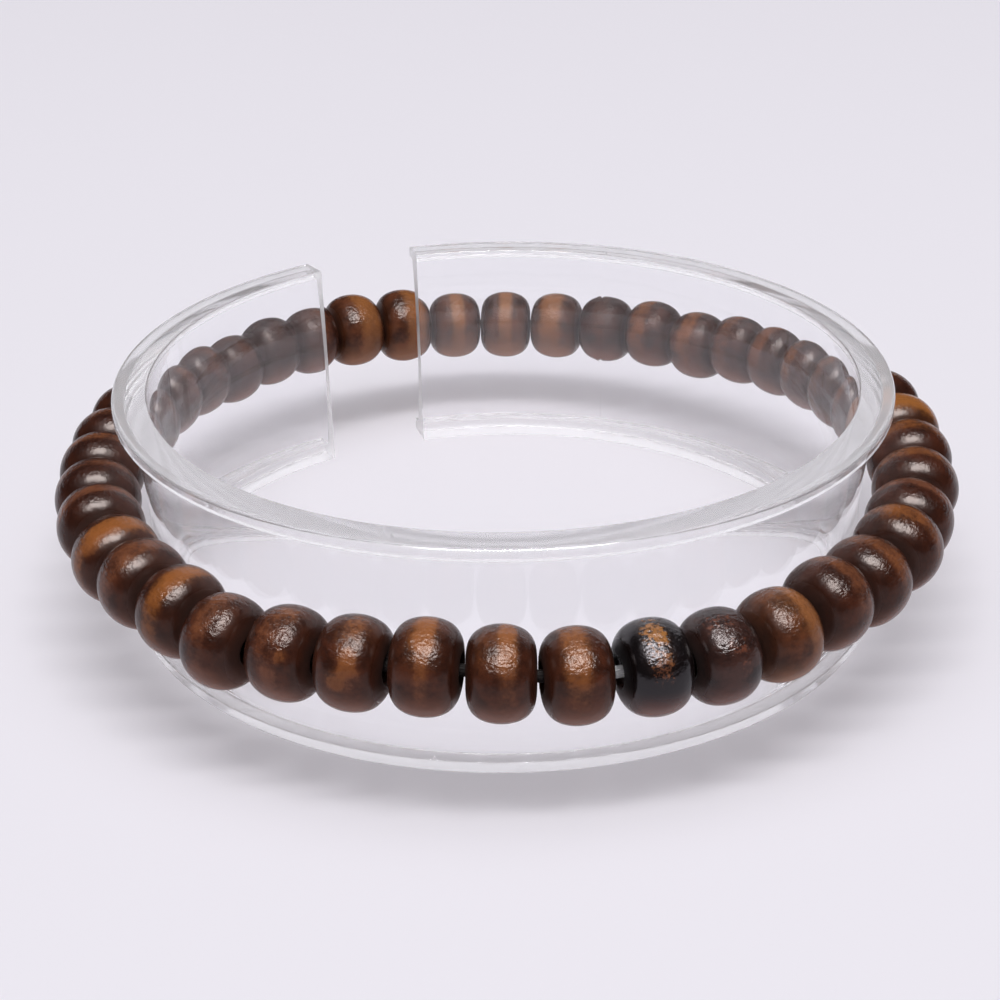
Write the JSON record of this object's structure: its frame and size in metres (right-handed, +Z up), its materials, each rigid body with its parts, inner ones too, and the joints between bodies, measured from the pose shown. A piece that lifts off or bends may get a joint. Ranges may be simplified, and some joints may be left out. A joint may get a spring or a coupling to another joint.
{
  "type": "beaded bracelet on a clear display ring",
  "caption": "Stretch bracelet of barrel-shaped stained wooden beads on an elastic thread, held round the waist of a clear C-shaped display ring that stands on its lower edge.",
  "frame": {"origin": "on the surface that the ring stands on, at the ring's axis", "axes": "+Z up along the ring's axis, +Y through the middle of the gap in the ring, +X to the right seen from the side opposite the gap"},
  "size_m": [0.0644, 0.0672, 0.0162],
  "materials": {
    "stained_wood_brown": "satin lacquer over dark reddish-brown stain",
    "stained_wood_dark": "satin lacquer over near-black brown stain",
    "stained_wood_tan": "satin lacquer, stain rubbed through to orange tan wood",
    "elastic": "smooth, whitish, slightly clear",
    "clear_acrylic": "clear, polished, moulded"
  },
  "bodies": {
    "root": {"bead_01": "stained_wood_brown", "bead_02": "stained_wood_brown", "bead_03": "stained_wood_dark", "bead_04": "stained_wood_dark", "bead_05": "stained_wood_tan", "bead_06": "stained_wood_brown", "bead_07": "stained_wood_brown", "bead_08": "stained_wood_brown", "bead_09": "stained_wood_brown", "bead_10": "stained_wood_brown", "bead_11": "stained_wood_brown", "bead_12": "stained_wood_tan", "bead_13": "stained_wood_brown", "bead_14": "stained_wood_brown", "bead_15": "stained_wood_brown", "bead_16": "stained_wood_brown", "bead_17": "stained_wood_brown", "bead_18": "stained_wood_brown", "bead_19": "stained_wood_brown", "bead_20": "stained_wood_brown", "bead_21": "stained_wood_brown", "bead_22": "stained_wood_brown", "bead_23": "stained_wood_brown", "bead_24": "stained_wood_brown", "bead_25": "stained_wood_tan", "bead_26": "stained_wood_brown", "bead_27": "stained_wood_brown", "bead_28": "stained_wood_brown", "bead_29": "stained_wood_brown", "bead_30": "stained_wood_brown", "bead_31": "stained_wood_brown", "bead_32": "stained_wood_brown", "bead_33": "stained_wood_brown", "bead_34": "stained_wood_brown", "bead_35": "stained_wood_brown", "bead_36": "stained_wood_tan", "bead_37": "stained_wood_brown", "bead_38": "stained_wood_tan", "bead_39": "stained_wood_brown", "bead_40": "stained_wood_brown", "bead_41": "stained_wood_brown", "bead_42": "stained_wood_brown", "elastic_thread": "elastic", "display_ring": "clear_acrylic"}
  },
  "joints": []
}
